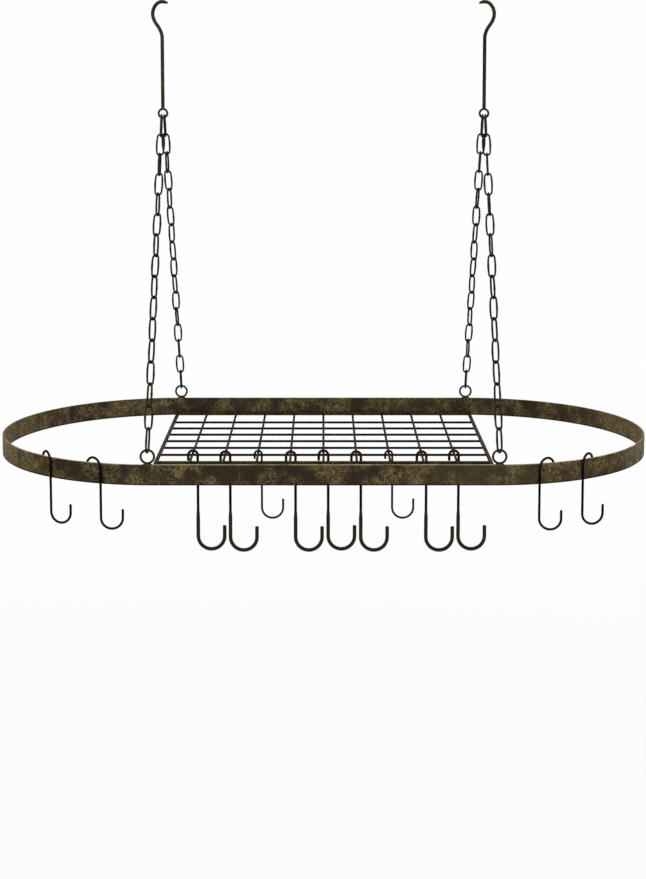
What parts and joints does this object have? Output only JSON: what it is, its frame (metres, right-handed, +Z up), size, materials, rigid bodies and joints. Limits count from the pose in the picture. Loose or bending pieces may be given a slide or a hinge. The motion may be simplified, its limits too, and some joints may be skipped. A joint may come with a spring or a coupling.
{
  "type": "hanging pot rack",
  "caption": "Oval flat-bar hanging rack with a wire shelf across its middle, link chains to ceiling hooks, and loose S-shaped hooks for pans and utensils.",
  "frame": {"origin": "midway between the two ceiling hooks, at the height where their bends bear on the ceiling loops", "axes": "+X along the oval band, to the right as seen from the front; -Y towards the front; +Z up"},
  "size_m": [0.838, 0.4385, 0.7082],
  "materials": {
    "aged_bronze": "antique bronze powder coat, satin, mottled",
    "hanger_bronze": "antique bronze powder coat, satin, mottled",
    "chain_bronze": "antique bronze powder coat, satin, mottled",
    "shelf_bronze": "antique bronze powder coat, satin, mottled",
    "dark_wire": "antique bronze powder coat, satin, mottled",
    "hook_black": "antique bronze powder coat, satin, mottled"
  },
  "bodies": {
    "ceiling_hooks": {"ceiling_hook_left": "hanger_bronze", "ceiling_hook_right": "hanger_bronze"},
    "top_links_left": {"top_link_front_left": "chain_bronze", "top_link_rear_left": "chain_bronze"},
    "chain_front_left": {"chain_front_left": "chain_bronze"},
    "chain_rear_left": {"chain_rear_left": "chain_bronze"},
    "top_links_right": {"top_link_front_right": "chain_bronze", "top_link_rear_right": "chain_bronze"},
    "chain_front_right": {"chain_front_right": "chain_bronze"},
    "chain_rear_right": {"chain_rear_right": "chain_bronze"},
    "rack": {"band": "aged_bronze", "eye_ring_front_left": "aged_bronze", "eye_ring_rear_left": "aged_bronze", "eye_ring_front_right": "aged_bronze", "eye_ring_rear_right": "aged_bronze", "shelf_side_bar_left": "shelf_bronze", "shelf_side_bar_right": "shelf_bronze", "shelf_end_bar_front": "dark_wire", "shelf_end_bar_rear": "dark_wire", "shelf_long_wire_1": "shelf_bronze", "shelf_long_wire_2": "shelf_bronze", "shelf_long_wire_3": "shelf_bronze", "shelf_long_wire_4": "shelf_bronze", "shelf_long_wire_5": "shelf_bronze", "shelf_long_wire_6": "shelf_bronze", "shelf_long_wire_7": "shelf_bronze", "shelf_long_wire_8": "shelf_bronze", "shelf_long_wire_9": "shelf_bronze", "shelf_cross_wire_1": "dark_wire", "shelf_cross_wire_2": "dark_wire", "shelf_stop_bar": "shelf_bronze", "shelf_cross_wire_4": "dark_wire", "shelf_cross_wire_5": "dark_wire", "shelf_cross_wire_6": "dark_wire", "shelf_cross_wire_7": "dark_wire", "shelf_cross_wire_8": "dark_wire", "shelf_cross_wire_9": "dark_wire"},
    "pan_hook_1": {"pan_hook_1": "hook_black"},
    "pan_hook_2": {"pan_hook_2": "hook_black"},
    "pan_hook_3": {"pan_hook_3": "hook_black"},
    "pan_hook_4": {"pan_hook_4": "hook_black"},
    "pan_hook_5": {"pan_hook_5": "hook_black"},
    "pan_hook_6": {"pan_hook_6": "hook_black"},
    "pan_hook_7": {"pan_hook_7": "hook_black"},
    "pan_hook_8": {"pan_hook_8": "hook_black"},
    "pan_hook_9": {"pan_hook_9": "hook_black"},
    "utensil_hook_1": {"utensil_hook_1": "hook_black"},
    "utensil_hook_2": {"utensil_hook_2": "hook_black"},
    "utensil_hook_3": {"utensil_hook_3": "hook_black"},
    "utensil_hook_4": {"utensil_hook_4": "hook_black"}
  },
  "joints": [
    {"name": "swing_left", "type": "hinge", "parent": "ceiling_hooks", "child": "top_links_left", "pos_m": [-0.2073, 0, -0.1453], "axis": [1, 0, 0], "range_deg": [-15, 15]},
    {"name": "sway_front_left", "type": "hinge", "parent": "top_links_left", "child": "chain_front_left", "pos_m": [-0.2091, -0.01307, -0.16905], "axis": [0, 1, 0], "range_deg": [-20, 20]},
    {"name": "sway_rear_left", "type": "hinge", "parent": "top_links_left", "child": "chain_rear_left", "pos_m": [-0.2055, 0.01307, -0.16905], "axis": [0, 1, 0], "range_deg": [-20, 20]},
    {"name": "swing_right", "type": "hinge", "parent": "ceiling_hooks", "child": "top_links_right", "pos_m": [0.2073, 0, -0.1453], "axis": [1, 0, 0], "range_deg": [-15, 15]},
    {"name": "sway_front_right", "type": "hinge", "parent": "top_links_right", "child": "chain_front_right", "pos_m": [0.2091, -0.01307, -0.16905], "axis": [0, 1, 0], "range_deg": [-20, 20]},
    {"name": "sway_rear_right", "type": "hinge", "parent": "top_links_right", "child": "chain_rear_right", "pos_m": [0.2055, 0.01307, -0.16905], "axis": [0, 1, 0], "range_deg": [-20, 20]},
    {"name": "rack_level", "type": "hinge", "parent": "chain_front_left", "child": "rack", "pos_m": [-0.2091, -0.2145, -0.54303], "axis": [0, 1, 0], "range_deg": [-20, 20]},
    {"name": "pan_hook_1_swing", "type": "hinge", "parent": "rack", "child": "pan_hook_1", "pos_m": [-0.1684, -0.0476, -0.57618], "axis": [0, 1, 0], "range_deg": [-15, 15]},
    {"name": "pan_hook_2_swing", "type": "hinge", "parent": "rack", "child": "pan_hook_2", "pos_m": [-0.1263, -0.053, -0.57618], "axis": [0, 1, 0], "range_deg": [-15, 15]},
    {"name": "pan_hook_3_swing", "type": "hinge", "parent": "rack", "child": "pan_hook_3", "pos_m": [-0.0842, -0.0476, -0.57618], "axis": [0, 1, 0], "range_deg": [-15, 15]},
    {"name": "pan_hook_4_swing", "type": "hinge", "parent": "rack", "child": "pan_hook_4", "pos_m": [-0.0421, -0.053, -0.57618], "axis": [0, 1, 0], "range_deg": [-15, 15]},
    {"name": "pan_hook_5_swing", "type": "hinge", "parent": "rack", "child": "pan_hook_5", "pos_m": [0, -0.0476, -0.57618], "axis": [0, 1, 0], "range_deg": [-15, 15]},
    {"name": "pan_hook_6_swing", "type": "hinge", "parent": "rack", "child": "pan_hook_6", "pos_m": [0.0421, -0.053, -0.57618], "axis": [0, 1, 0], "range_deg": [-15, 15]},
    {"name": "pan_hook_7_swing", "type": "hinge", "parent": "rack", "child": "pan_hook_7", "pos_m": [0.0842, -0.0476, -0.57618], "axis": [0, 1, 0], "range_deg": [-15, 15]},
    {"name": "pan_hook_8_swing", "type": "hinge", "parent": "rack", "child": "pan_hook_8", "pos_m": [0.1263, -0.053, -0.57618], "axis": [0, 1, 0], "range_deg": [-15, 15]},
    {"name": "pan_hook_9_swing", "type": "hinge", "parent": "rack", "child": "pan_hook_9", "pos_m": [0.1684, -0.0476, -0.57618], "axis": [0, 1, 0], "range_deg": [-15, 15]},
    {"name": "utensil_hook_1_slide_round", "type": "hinge", "parent": "rack", "child": "utensil_hook_1", "pos_m": [-0.203, 0, -0.55273], "axis": [0, 0, 1], "range_deg": [-6, 6]},
    {"name": "utensil_hook_2_slide_round", "type": "hinge", "parent": "rack", "child": "utensil_hook_2", "pos_m": [-0.203, 0, -0.55273], "axis": [0, 0, 1], "range_deg": [-6, 6]},
    {"name": "utensil_hook_3_slide_round", "type": "hinge", "parent": "rack", "child": "utensil_hook_3", "pos_m": [0.203, 0, -0.55273], "axis": [0, 0, 1], "range_deg": [-6, 6]},
    {"name": "utensil_hook_4_slide_round", "type": "hinge", "parent": "rack", "child": "utensil_hook_4", "pos_m": [0.203, 0, -0.55273], "axis": [0, 0, 1], "range_deg": [-6, 6]}
  ],
  "couplings": [
    {"joint": "swing_right", "follows": "swing_left", "ratio": 1},
    {"joint": "sway_rear_left", "follows": "sway_front_left", "ratio": 1},
    {"joint": "sway_front_right", "follows": "sway_front_left", "ratio": 1},
    {"joint": "sway_rear_right", "follows": "sway_front_left", "ratio": 1},
    {"joint": "rack_level", "follows": "sway_front_left", "ratio": -1}
  ]
}
